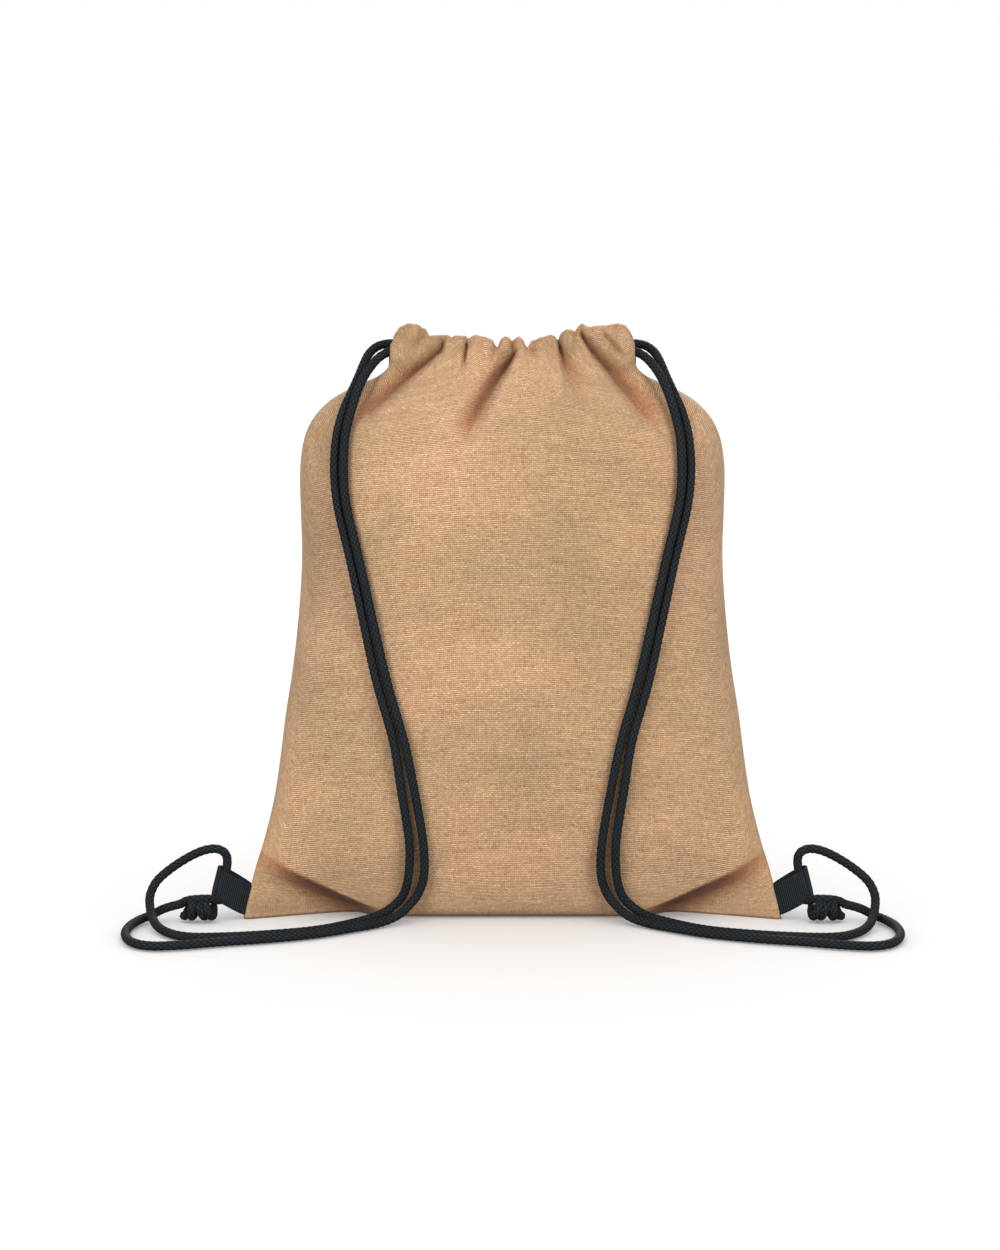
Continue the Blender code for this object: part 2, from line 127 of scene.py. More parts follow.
# folds, each a run of stops: (x, height, depth, width to its left, width to its right), left and
# right as for a walker on the way down; a roll that stands out has a negative depth
FRONT_FOLDS = (
    # the two long troughs down to the shoulders
    ((-46.5, 415, 4, 1, 2.6), (-51, 402, 8.5, 1.4, 3.8), (-60, 394, 10, 1.8, 5),
     (-71.5, 384.5, 11.5, 2.2, 7), (-84, 373.5, 12, 2.8, 10), (-98, 362, 9, 4, 13),
     (-112, 352, 1, 6, 16)),
    ((47.5, 419, 4, 2.6, 1), (50, 411, 8.5, 4, 1.3), (57.5, 400, 11, 5.5, 1.6),
     (68, 387.5, 12.5, 8, 2), (77, 376.5, 12.5, 11.5, 2.6), (90, 361, 8, 16, 4),
     (102, 346, 0.5, 16, 6)),
    # the deep one in the middle
    ((2.5, 402, 4, 1.2, 2.5), (-0.5, 396, 11, 1.5, 5), (-5.5, 388, 17, 2, 7),
     (-12.5, 378.5, 17, 3, 8.5), (-21, 364.4, 13, 4.2, 9), (-28, 353, 8.5, 5.5, 9),
     (-35, 340, 1, 7, 9)),
    # slits between the gathers
    ((-32.8, 412, 4, 1.6, 0.9), (-33.2, 407, 9, 2.2, 0.9), (-34, 400, 6, 1.6, 0.9),
     (-35.5, 386, 1.2, 2.5, 1.6)),
    ((32.2, 412, 5, 1.6, 0.9), (33.4, 404, 9, 3.4, 1.1), (35.8, 394, 8, 8, 1.4),
     (40, 382, 4.5, 12, 3), (45, 368, 0.5, 12, 6)),
    ((-44.6, 416, 4, 0.9, 1.4), (-45.3, 411, 1, 1.2, 1.4)),
    ((-11, 410, 6, 1.2, 3), (-12.5, 403, 4, 1.4, 5), (-15, 394, 0.5, 3, 5)),
    ((-0.6, 414, 4.5, 1.2, 1.2), (0, 405, 4, 1.6, 1.6), (1, 400, 2, 2, 2)),
    ((10.6, 410, 6, 2.8, 1.2), (13.5, 403, 5, 5, 1.4), (17, 393, 0.5, 6, 3)),
    ((43.5, 419, 4, 1.2, 1.2), (44.5, 410, 2, 1.4, 1.4), (46, 402, 0.2, 2, 2)),
    # hollows beside the ears
    ((60, 419, 1, 1.2, 2), (67.5, 411, 3.5, 1.2, 3), (75.5, 402.5, 4.5, 1.2, 3.6),
     (80, 396, 0.5, 2, 4)),
    ((-60.5, 416, 4.5, 1.2, 2.4), (-65.5, 409, 3.4, 2, 4), (-72, 398, 0.3, 4, 5)),
    # swells of cloth between them
    ((-75, 412, -2, 8, 8), (-77, 402, -2, 8, 8)),
    ((84, 412, -1, 5, 5), (86, 404, -1, 5, 5)),
    ((-38, 408, -1.5, 4, 4), (-52, 388, -3, 7, 4), (-76, 362, -1, 8, 6)),
    ((-5.5, 408, -2, 4, 4), (-6, 402, -1, 4, 4)),
    ((5, 408, -2, 4, 4), (5.5, 402, -1, 4, 4)),
    ((22, 408, -1.5, 8, 8), (10, 380, -3.5, 9, 4), (-8, 350, -2.5, 12, 6)),
    ((52, 392, -1, 4, 6), (66, 372, -3, 4, 9), (80, 352, -1.5, 6, 9)),
)
BACK_FOLDS = (
    ((-39, 412, 4, 1.2, 3), (-47, 400, 7, 1.8, 5), (-62, 388, 9, 2.4, 8), (-80, 372, 7, 3, 11),
     (-98, 358, 1, 6, 13)),
    ((36, 411, 4, 3, 1.2), (44, 400, 7, 5, 1.8), (60, 386, 9, 8, 2.4), (78, 370, 7, 11, 3),
     (96, 354, 1, 13, 6)),
    ((-5, 409, 4, 2.4, 1.2), (-2, 396, 8, 4, 2), (3, 384, 11, 6, 2.6), (13, 364, 7, 8, 4),
     (20, 344, 0.5, 9, 6)),
    ((-19, 409, 5, 1.2, 2), (-22, 400, 4, 1.6, 4), (-28, 382, 0.5, 4, 6)),
    ((14.2, 410, 5, 2, 1.2), (17, 401, 4, 4, 1.6), (22, 384, 0.5, 6, 4)),
    ((58, 414, 3, 1.6, 1.6), (70, 402, 4, 4, 2), (79, 392, 0.5, 5, 4)),
    ((-59, 414, 3, 1.6, 1.6), (-69, 402, 4, 2, 4), (-80, 390, 0.5, 4, 5)),
)
# soft dents of the filled body, written the same way
FRONT_DENTS = (
    ((-92, 216, 1.8, 13, 9), (-40, 209, 1.4, 14, 10), (10, 203, 0.6, 14, 12)),
    ((-154, 212, 1.4, 10, 10), (-112, 205, 0.8, 10, 10)),
    ((112, 205, 0.8, 10, 10), (154, 212, 1.4, 10, 10)),
    ((84, 310, 0.8, 14, 9), (94, 296, 2.2, 16, 10), (102, 276, 0.6, 14, 10)),
    ((-26, 312, 1.8, 22, 18), (34, 298, 1.2, 22, 18)),
    ((-72, 34, 1.6, 12, 14), (0, 60, 0.6, 12, 14)),
    ((70, 40, 1.4, 14, 12), (20, 70, 0.6, 14, 12)),
)
BACK_DENTS = (
    ((-60, 250, 2, 16, 12), (40, 230, 1, 16, 12)),
    ((40, 130, 1.8, 14, 14), (110, 150, 1, 14, 14)),
    ((-110, 110, 1.6, 14, 10), (-40, 96, 0.8, 14, 10)),
)
# the fold across each bottom corner: from (x, height) at the bottom seam to the side seam
CORNER_FOLD = (92, 6.5, 176, 47)
CORNER_CURVE = 1.2  # exponent of its rise
CORNER_SOFT = (8, 15)  # mm over which the cloth falls from it, low down and at the side seam
CORNER_DARK = 3.5  # the painted shadow under it is darkest this far below it
CORNER_BAND = (2, 12)  # and the painted shadow spreads over these widths above and below there
DEEPEST = 10  # a fold this deep gets as much painted shade as a gathered fold gets
FOLD_SHADE = 0.80  # which is this share of the painted shadow under a corner's fold
SHADE_REACH = (0.4, 0.8)  # a fold's painted shade spreads over this share of a narrow side, and of a wide one
NARROW = 0.7  # a narrow side is under this share of the other
CUSP = 0.8  # how sharp the crease of an uneven fold is
UNEVEN = (1.3, 2)  # from even to uneven: its wide side over its narrow one
FOLD_ENDS = 6  # exponent with which folds run out at the side seams
BASE_PAINTED_SHADE, HEM_PAINTED_SHADE = 0.5, 0.2  # how dark the painted shade is on the bottom and on the hem

# the slack of a filled sack: (waves a mm, depth), and the heights where it comes and goes
CRUMPLE = ((0.011, 1.5), (0.035, 0.45))
CRUMPLE_FROM = (4, 30)
CRUMPLE_TO = (352, 380)
# small creases of the gathered casing: (waves across, waves up, seed, share)
PUCKERS = ((0.16, 0.03, 3, 1), (0.37, 0.06, 9, 0.5))
PUCKER = 1.1  # their height
PUCKER_RISE = (350, 396)

ROW_BANDS = ((0, 72, 42), (72, 332, 62), (332, 391, 38))  # (from, to, rows)
BASE_STEPS = 4
CASING_STEPS = 14
FOLD_STEPS = 8
HEM_STEPS = 6
COLUMNS = 240
CASING_HALF = 88  # half width of the casing
HEM_CLEAR = (-3, -1.5, 0, 1.5, 3)  # the hem clears the folds as far to either side
LONGEST_STEP = 1.5  # most thicknesses between the cloth's two faces
FLAT_WIDTH = 380  # the cloth's width before it is gathered
OWN_WIDTH = 0.65  # how far the yarns keep their distance where it is
OWN_RISE = (0.4, 0.85)  # how far they follow the folds, on the body and at the neck
NECK_RISE = (310, 370)  # from the one to the other
NEAR_RISE, NEAR_WIDTH = 14, 5  # neighbours on either side that even out their distances

CORD = 6.6  # diameter of the braided cord, mm
STRANDS = 6  # strands of the braid in each direction
BRAID_STEP = 4.4  # length of one pick of the braid
BRAID_CROWN = 0.6  # exponent of a strand's rounded top
BRAID_DIP = 0.28  # share of its height that a strand loses where it dives
AROUND = 30  # points around a cord
RING_STEP = 0.75  # mm between its rings
CURVE_PARTS = 24  # parts of a curve between two points of a route

KNOT_CENTRE = (-222.5, -73.5, 10)
KNOT_HALF = (8.9, 5.9, 5.2)  # half the knot's turns along, across and up
KNOT_TURNS, KNOT_START = 3.4, 0.35
KNOT_LEAN = 1.3  # how far each turn leans along the knot
KNOT_SPLIT = 0.55  # how far its two lobes stand apart
KNOT_WAIST = 0.10  # share by which they narrow
KNOT_DROP = 1  # the turns lie this far below the centre
KNOT_STEPS = 80

# the left cord's strands, from inside the casing to the knot; the right cord mirrors them
STRAND_A = (
    (-77, 18.8, 406), (-84, 16.8, 406.8), (-90.5, 13.6, 406.8), (-97.5, 9, 404.9), (-103, 1.5, 400),
    (-106.6, -8, 392.6), (-110, -18, 383.5), (-114.5, -26.5, 373), (-120, -33.5, 360),
    (-124.5, -40, 342), (-125.9, -45.5, 318), (-123, -50.3, 292), (-114.5, -56.8, 257),
    (-105.3, -64.2, 215), (-96, -70.9, 173), (-84.1, -76.5, 131), (-78.5, -78.4, 96),
    (-73.2, -78, 60), (-73.4, -75.8, 36), (-77, -72.9, 20.5), (-84, -73, 11.6), (-95, -79, 5.8),
    (-113, -93, 3.6), (-136, -112, 3.5), (-166, -124, 3.5), (-198, -131, 3.5), (-222, -131.5, 3.5),
    (-237, -122, 3.6), (-247.5, -107, 4.6), (-253.5, -91.5, 7.8), (-257, -78, 13.6),
    (-257.2, -70.5, 20), (-252.5, -65.3, 28.5), (-240.1, -62, 38.4), (-225, -60.6, 46.9),
    (-213.5, -59.4, 49.7), (-206, -58.7, 47), (-203.8, -58.5, 40), (-206.2, -60.1, 26),
    (-209.2, -62.6, 13),
)
STRAND_B = (
    (-76, -18.8, 402.8), (-83, -17, 402.8), (-89.5, -14.8, 401), (-95.5, -15.6, 397.3),
    (-100.5, -19, 391.8), (-105, -26.5, 384.8), (-108.5, -32.5, 377.5), (-112, -36, 367.5),
    (-115.8, -40.5, 354), (-118.5, -45, 339), (-119, -50.3, 313), (-116.5, -53.5, 292),
    (-108, -60, 257), (-98.4, -67, 215), (-88.5, -73.2, 173), (-76.4, -77.8, 131),
    (-69.3, -79.4, 96), (-63.4, -78.4, 60), (-62.6, -76.2, 36), (-66.5, -74.6, 21.5),
    (-73.5, -76, 12.2), (-82.5, -83, 6), (-95, -93, 3.6), (-113, -107, 3.5), (-136, -122.5, 3.5),
    (-166, -135, 3.5), (-198, -144.5, 3.5), (-225, -153.5, 3.5), (-246, -156, 3.5),
    (-260, -146, 3.5), (-267.5, -126, 3.5), (-268.5, -104, 3.5), (-264.5, -85, 3.5),
    (-257, -73.5, 4.6), (-247.5, -69.5, 8.6), (-236.3, -70.6, 12),
)
# the cord where it crosses the knot, from strand b's end to strand a's
KNOT_BAND = (
    (-236.3, -70.6, 12), (-231, -72.6, 15), (-224, -75.4, 16.6), (-216.5, -73.6, 16.4),
    (-209.2, -67.5, 14.2), (-208.4, -62.8, 13.4),
)

TAB_ROOT = (2.5, 23.5)  # heights between which a tab's webbing leaves the side seam
TAB_SEWN = -2  # the webbing starts this far inside the seam
TAB_LIFT = 31  # degrees by which a tab rises outwards
TAB_REACH = 20  # from the root to the middle of its rounded fold
TAB_LOOP = 5.5  # half the depth of its loop
TAB_FRONT = ((TAB_SEWN, -0.8), (0, -1.3), (5, -4), (10, -5.1), (15, -TAB_LOOP))
TAB_TURN = 22.5  # degrees between the points round its fold
TAB_STEP = 0.16  # mm between the points along the webbing
TAB_ACROSS = 14  # steps across it
WEBBING = 1.3  # its thickness
RIB = 1.4  # distance between its ribs

CLOTH_MAP = "cloth"
BRAID_MAP = "braid"
WEB_MAP = "webbing"
# name of the per-point attribute that carries the painted shade
PAINTED_SHADE_LAYER = "hollow"

# looks
YARN_CROWN = 0.7  # exponent of a yarn's rounded top
PATCHES = ((0.83, 0.86, 0.84), (1.14, 1.11, 1.13))  # darkest and palest cloth, times its colour
FLECK = (0.20, 0.10, 0.045)
WEB_PICK = 0.0007  # metres between the threads across a rib
BRAID_BUMP = (0.00022, 0.8)  # distance in metres, strength
WEB_BUMP = (0.0002, 0.8)
WHITE = (1, 1, 1, 1)
PAPER = (0.93, 0.93, 0.93, 1)

# the stage
CAMERA_TARGET = (-0.0089, -0.05, 0.2095)
CAMERA_HEIGHT = 0.44
SENSOR = 36  # mm
FLOOR_HALF = 9000  # half its width, mm
FLOOR_DROP = 0.3  # how far it lies under the sack, mm
LIT_POINT = (0, 0, 0.2)
SOFTBOXES = (  # (name, place, diameter, share of the key light's power)
    ("left softbox", (-2.1, -2.9, 2.1), 2.2, 0.58),
    ("right softbox", (2.2, -2.9, 2.1), 2.2, 0.58),
    ("back softbox", (0.3, 3.2, 2.2), 1.6, 0.4),
)
SIDES = (("left", 1), ("right", -1))  # (name, its factor on x)


def colour(name, description, default):
    """The property of one colour."""
    return FloatVectorProperty(
        name=name, description=description, default=default, subtype="COLOR")


class JuteSettings(bpy.types.PropertyGroup):
    """Sizes and colours of the woven jute."""

    thickness: FloatProperty(
        name="Thickness", description="Thickness of the cloth", default=0.0016, unit="LENGTH")
    weft: FloatProperty(
        name="Weft pitch", description="Between yarns up the sack", default=0.00148, unit="LENGTH")
    warp: FloatProperty(
        name="Warp pitch", description="Between yarns across it", default=0.00135, unit="LENGTH")
    light: colour("Light yarn", "Colour of the palest yarns", (0.3573, 0.2401, 0.1432))
    middle: colour("Yarn", "Colour of most yarns", (0.2680, 0.1704, 0.0958))
    dark: colour("Dark yarn", "Colour of the darkest yarns", (0.1831, 0.1050, 0.0537))
    # painted shade deep between the yarns
    gap: colour("Gap", "Colour deep between the yarns", (0.07, 0.03, 0.012))
    # painted shade: the colour the cloth is multiplied by deep in its folds, and the darker one
    # right under a fold
    hollow: colour("Hollow", "Tint of the cloth deep in its folds", (0.80, 0.60, 0.51))
    under: colour("Under", "Tint of the cloth right under a fold", (0.44, 0.30, 0.27))
    relief: FloatProperty(
        name="Relief", description="Height of the weave", default=0.0005, unit="LENGTH")


class CordSettings(bpy.types.PropertyGroup):
    """Sizes and colours of the cord."""

    relief: FloatProperty(
        name="Relief", description="Depth of the braid's grooves", default=0.0006, unit="LENGTH")
    shade: colour("Colour", "Colour of the braid", (0.0085, 0.0102, 0.0116))
    # painted shade deep between the strands
    painted_groove_shade: colour("Groove", "Colour deep between its strands", (0.0004, 0.0005, 0.0006))


class WebbingSettings(bpy.types.PropertyGroup):
    """Sizes and colours of the webbing."""

    relief: FloatProperty(
        name="Relief", description="Height of the ribs", default=0.0001, unit="LENGTH")
    shade: colour("Colour", "Colour of the webbing", (0.0076, 0.0094, 0.0108))


class StageSettings(bpy.types.PropertyGroup):
    """Camera, floor and lights."""

    lens: FloatProperty(
        name="Lens", description="Focal length in millimetres", default=73.65)
    distance: FloatProperty(
        name="Distance", description="From the camera to the front", default=1.8, unit="LENGTH")
    key: FloatProperty(
        name="Key light", description="Watts that the softboxes share out", default=360.0)
    sky: FloatProperty(
        name="Sky", description="Strength of the even light from all round", default=1.0)


def ease(value, low, high):
    """0 below low, 1 above high, smooth between."""
    share = min(max((value - low) / (high - low), 0), 1)
    return share * share * (3 - 2 * share)


def curve(here, after, slope_in, slope_out, t):
    """Smooth step from here to after, t from 0 to 1, with these slopes at its ends."""
    return (
        here * (1 + 2 * t) * (1 - t) ** 2
        + slope_in * t * (1 - t) ** 2
        + after * t * t * (3 - 2 * t)
        + slope_out * t * t * (t - 1)
    )


def section(z, column):
    """One column of SECTIONS at a height, through a smooth curve."""
    last = len(SECTIONS) - 1
    if z >= SECTIONS[last][HEIGHT]:
        return SECTIONS[last][column]
    low = max(i for i in range(last) if SECTIONS[i][HEIGHT] <= max(z, 0))
    here = SECTIONS[low]
    above = SECTIONS[low + 1]
    before = SECTIONS[max(low - 1, 0)]
    after = SECTIONS[min(low + 2, last)]
    span = above[HEIGHT] - here[HEIGHT]
    t = (z - here[HEIGHT]) / span
    slope_in = (above[column] - before[column]) / (above[HEIGHT] - before[HEIGHT]) * span
    slope_out = (after[column] - here[column]) / (after[HEIGHT] - here[HEIGHT]) * span
    return curve(here[column], above[column], slope_in, slope_out, t)


def seam_plane(x, z):
    """Y of the surface between the two panels."""
    slope = FLAP_SLOPE * (1 - ease(z, *FLAP_TOP))
    inwards = section(z, HALF) - hypot(x, SOFT_MIDDLE)
    return section(z, SEAM) + slope * inwards


def bulge(share, power):
    """Rounded cross-section: 1 in the middle, 0 with an upright edge at share 1."""
    return sqrt(max(1 - abs(share) ** power, 0))


def folded(x, z, folds):
    """How deep the folds lie at a point, and how much painted shade they get there, from 0 to 1.

    An uneven fold ends in a crease on its wide side, and gets painted shade only close to its narrow
    one."""
    total = 0
    shade = 0
    for stops in folds:
        most = 0
        for (x0, z0, *upper), (x1, z1, *lower) in zip(stops, stops[1:]):
            long = hypot(x1 - x0, z1 - z0)
            run = ((x - x0) * (x1 - x0) + (z - z0) * (z1 - z0)) / long ** 2
            along = min(max(run, 0), 1)
            depth, left, right = (high + (low - high) * along for high, low in zip(upper, lower))
            away = hypot(x - x0 - along * (x1 - x0), z - z0 - along * (z1 - z0))
            turn = ((x - x0) * (z1 - z0) - (z - z0) * (x1 - x0)) / long
            here, other = (left, right) if turn < 0 else (right, left)
            reach = SHADE_REACH[here >= NARROW * other] * here
            shade = max(shade, depth / DEEPEST * exp(-(away / reach) ** 2))
            leaning = 0.5 - 0.5 * tanh(turn)
            width = right + (left - right) * leaning
            share = leaning if left > right else 1 - leaning
            power = 2 - CUSP * share * ease(max(left, right) / min(left, right), *UNEVEN)
            depth *= exp(-(away / width) ** power)
            if abs(depth) > abs(most):
                most = depth
        total += most
    return total, min(shade, 1)


def crumple(x, z, side):
    """How far the slack cloth falls inwards at a point."""
    total = 0
    for waves, height in CRUMPLE:
        spot = Vector((x * waves, z * waves * 0.7, 7.3 * side + 31 * waves))
        total += height * (0.5 + 0.5 * noise.noise(spot))
    total *= ease(z, *CRUMPLE_FROM) * (1 - ease(z, *CRUMPLE_TO))
    pucker = 0
    for across, up, seed, share in PUCKERS:
        pucker += share * noise.noise(Vector((x * across, z * up, seed + side)))
    return total - PUCKER * pucker * ease(z, *PUCKER_RISE)


def above_corner(x, z):
    """How far a point lies above the fold across a bottom corner, and how far along it, 0 to 1."""
    x_low, z_low, x_high, z_high = CORNER_FOLD
    share = (abs(x) - x_low) / (x_high - x_low)
    return z - z_low - (z_high - z_low) * max(share, 0) ** CORNER_CURVE, share


def corner_painted_shadow(x, z):
    """Painted shadow on the cloth under that fold, from 0 to 1."""
    above, share = above_corner(x, z)
    width = CORNER_BAND[above <= -CORNER_DARK]
    fade = ease(share, -0.05, 0.2) * (1 - 0.6 * ease(share, 0.65, 1.05))
    return exp(-((above + CORNER_DARK) / width) ** 2) * fade


def panel_face(x, z, side):
    """Y of a panel's outer face without its folds. side is -1 in front, 1 behind."""
    depth = section(z, FRONT if side < 0 else BACK)
    half = section(z, HALF)
    crease = section(z, CREASE)
    middle = seam_plane(x, z)
    slit = ease(z, *SLIT)
    edge = SEAM_GAP + (SLIT_Y - SEAM_GAP) * slit
    power = BODY_ROUND + (NECK_ROUND - BODY_ROUND) * slit
    full = section(z, SEAM) + side * edge
    full += (depth - full) * bulge(x / half, power)
    rim = bulge(max(abs(x) - half + FLAP_RIM, 0) / FLAP_RIM, 2)
    flap = middle + side * (SEAM_GAP + FLAP_LOFT * rim)
    if side < 0:
        above, share = above_corner(x, z)
        high = ease(share, 0.4, 0.95)
        soft = CORNER_SOFT[0] + (CORNER_SOFT[1] - CORNER_SOFT[0]) * high
        fall = 1 - exp(-(max(-above, 0) / soft) ** (1.1 + 0.9 * high))
        return full + (flap - full) * fall * ease(share, 0, 0.3)
    flat = 1 - ease(z, *FLAP_TOP)
    if flat <= 0:
        return full
    if abs(x) < crease:
        root = seam_plane(crease, z) + side * (SEAM_GAP + FLAP_LOFT)
        flap = root + (depth - root) * bulge(x / crease, BODY_ROUND) ** CREASE_SOFT
    return full + (flap - full) * flat


def hem_face(x, z, side, folds, inside):
    """Y of the hem, this far inside the panel and clear of its folds."""
    deepest = max(folded(x + step, z, folds)[0] for step in HEM_CLEAR)
    held = bulge(x / section(z, HALF), FOLD_ENDS)
    return panel_face(x, z, side) - side * (deepest * held + inside)


def upper_edge(edge, x):
    """Height of a casing's upper edge."""
    for (x_low, z_low), (x_high, z_high) in zip(edge, edge[1:]):
        if x <= x_high:
            return z_low + (z_high - z_low) * ease(x, x_low, x_high)
    return edge[-1][1]


def column_x(column, z):
    """X of a column at a height: even along the casing, closer together at the sides below."""
    share = 2 * column / COLUMNS - 1
    turn = sin(0.5 * pi * share)
    split = sin(0.5 * pi * CREASE_SHARE)
    half = section(z, HALF)
    crease = section(z, CREASE)
    if abs(turn) <= split:
        spread = crease * turn / split
    else:
        spread = copysign(crease + (half - crease) * (abs(turn) - split) / (1 - split), turn)
    return spread + (share * half - spread) * ease(z, GATHER_START, NECK)


def panel_points(side, edge, folds, dents):
    """Rows of points of a panel's outer face, from the bottom seam to the hem's lower edge, and how
    much painted shade lies at each, from 0 to 1."""
    crests = smoothed([upper_edge(edge, CASING_HALF * (2 * column / COLUMNS - 1))
                       for column in range(COLUMNS + 1)], 1)
    rows = []
    # painted shade on the bottom rows, under the sack where it meets the floor
    painted_shades = [[BASE_PAINTED_SHADE] * (COLUMNS + 1)] * (BASE_STEPS + 1)
    for step in range(BASE_STEPS + 1):
        row = []
        for column in range(COLUMNS + 1):
            x = column_x(column, 0)
            start = seam_plane(x, 0) + side * SEAM_GAP
            contact = panel_face(x, 0, side)
            if column in (0, COLUMNS):
                contact = start + side * 0.5 * FLAP_LOFT
            row.append(Vector((x, start + (contact - start) * step / BASE_STEPS, 0)))
        rows.append(row)
    heights = [(low + (high - low) * (row + 1) / steps, 0)
               for low, high, steps in ROW_BANDS for row in range(steps)]
    heights += [(NECK, (step + 1) / CASING_STEPS) for step in range(CASING_STEPS)]
    for z_low, share in heights:
        row = []
        hollow = []
        for column, crest in enumerate(crests):
            z = z_low + (crest - HEM_FOLD - NECK) * share
            x = column_x(column, z)
            depth, shade = folded(x, z, folds)
            depth += folded(x, z, dents)[0] + crumple(x, z, side)
            held = bulge(x / section(z, HALF), FOLD_ENDS)
            row.append(Vector((x, panel_face(x, z, side) - side * depth * held, z)))
            # painted shadow under the corner fold, added to the painted shade of the gathered folds
            under = corner_painted_shadow(x, z) if side < 0 else 0
            hollow.append(min(FOLD_SHADE * shade + under, 1))
        rows.append(row)
        painted_shades.append(hollow)
    top = rows[-1]
    inner = [hem_face(x, z, side, folds, CHANNEL) for x, _y, z in top]
    for step in range(FOLD_STEPS):
        angle = pi * (step + 1) / FOLD_STEPS
        across = 0.5 * (1 - cos(angle))
        rows.append([Vector((x, y + (y_in - y) * across, z + HEM_FOLD * sin(angle)))
                     for (x, y, z), y_in in zip(top, inner)])
    for step in range(HEM_STEPS):
        share = (step + 1) / HEM_STEPS
        rows.append([Vector((x, y_in, z + (HEM_BEND - z) * share))
                     for (x, _y, z), y_in in zip(top, inner)])
    row = []
    for x, _y, _z in top:
        neck_x = x * section(HEM_LOW, HALF) / section(HEM_BEND, HALF)
        row.append(Vector((x, hem_face(neck_x, HEM_LOW, side, folds, HEM_CLOSED), HEM_LOW)))
    rows.append(row)
    # painted shade on the hem inside the casing
    painted_shades += [[HEM_PAINTED_SHADE] * (COLUMNS + 1)] * (len(rows) - len(painted_shades))
    return rows, painted_shades


def smoothed(values, reach):
    """Running mean of a list over this many neighbours on either side."""
    near = [values[max(index - reach, 0):index + reach + 1] for index in range(len(values))]
    return [sum(some) / len(some) for some in near]


def laid_flat(rows):
    """The cloth's own coordinates in millimetres for each point: across its yarns and up them."""
    last = len(rows[0]) - 1
    flat = []
    up = [0] * (last + 1)
    for index, row in enumerate(rows):
        if index:
            step = [(a - b).length for a, b in zip(row, rows[index - 1])]
            mean = sum(step) / len(step)
            own = OWN_RISE[0] + (OWN_RISE[1] - OWN_RISE[0]) * ease(row[last // 2].z, *NECK_RISE)
            up = [have + mean + own * (near - mean)
                  for have, near in zip(up, smoothed(step, NEAR_RISE))]
        across = [0]
        for wide in smoothed([(b - a).length for a, b in zip(row, row[1:])], NEAR_WIDTH):
            across.append(across[-1] + wide)
        middle = across[last // 2]
        even = [FLAT_WIDTH * (column / last - 0.5) for column in range(last + 1)]
        flat.append([
            (OWN_WIDTH * (place - middle) + (1 - OWN_WIDTH) * share, rise)
            for place, share, rise in zip(across, even, up)
        ])
    return flat


def grid(columns, rows, points, flat, map_name, painted_shades=None):
    """A bmesh grid laid over rows of points, with its UV map and, where given, its painted shade per
    point.
    """
    shape = bmesh.new()
    layer = shape.loops.layers.uv.new(map_name)
    deep = shape.verts.layers.float.new(PAINTED_SHADE_LAYER)
    bmesh.ops.create_grid(shape, x_segments=columns - 1, y_segments=rows - 1, size=0.5)
    order = sorted(shape.verts, key=lambda vert: (round(vert.co.y, 5), round(vert.co.x, 5)))
    place = {}
    for index, vert in enumerate(order):
        row, column = divmod(index, columns)
        vert.co = points[row][column]
        place[vert] = flat[row][column]
        if painted_shades:
            vert[deep] = painted_shades[row][column]
    for face in shape.faces:
        for loop in face.loops:
            loop[layer].uv = place[loop.vert]
    return shape


def finished(name, shape, finish, smooth=True):
    """A mesh object from a bmesh in millimetres, at the origin."""
    bmesh.ops.scale(shape, vec=(MM, MM, MM), verts=shape.verts)
    mesh = bpy.data.meshes.new(name)
    shape.to_mesh(mesh)
    shape.free()
    mesh.materials.append(finish)
    if smooth:
        mesh.shade_smooth()
    made = bpy.data.objects.new(name, mesh)
    bpy.context.collection.objects.link(made)
    return made


def along_route(route, step):
    """Points at even distances on a smooth curve through the route's own points."""
    last = len(route) - 1
    fine = []
    for low in range(last):
        near = (min(max(low + shift, 0), last) for shift in (-1, 0, 1, 2))
        before, here, after, beyond = (Vector(route[index]) for index in near)
        slope_in = (after - before) * 0.5
        slope_out = (beyond - here) * 0.5
        for part in range(CURVE_PARTS):
            fine.append(curve(here, after, slope_in, slope_out, part / CURVE_PARTS))
    fine.append(Vector(route[last]))
    reach = [0]
    for here, after in zip(fine, fine[1:]):
        reach.append(reach[-1] + (after - here).length)
    count = max(int(round(reach[-1] / step)), 2)
    points = []
    low = 0
    for index in range(count + 1):
        goal = reach[-1] * index / count
        while low < len(fine) - 2 and reach[low + 1] < goal:
            low += 1
        share = (goal - reach[low]) / max(reach[low + 1] - reach[low], 1e-9)
        points.append(fine[low].lerp(fine[low + 1], share))
    return points


def mirrored(route, mirror):
    """Even points along a left cord's route, or its mirror image's where mirror is -1."""
    return [Vector((mirror * p.x, p.y, p.z)) for p in along_route(route, RING_STEP)]


def braid_height(turn, along):
    """Relief of the braid, 0 to 1: turn counts strands around the cord, along counts its picks."""
    one = turn + along
    other = turn - along
    over = (floor(one) + floor(other)) % 2
    across = one % 1 if over == 0 else other % 1
    length = other % 1 if over == 0 else one % 1
    dive = 1 - BRAID_DIP + BRAID_DIP * sin(pi * length)
    return sin(pi * across) ** BRAID_CROWN * dive


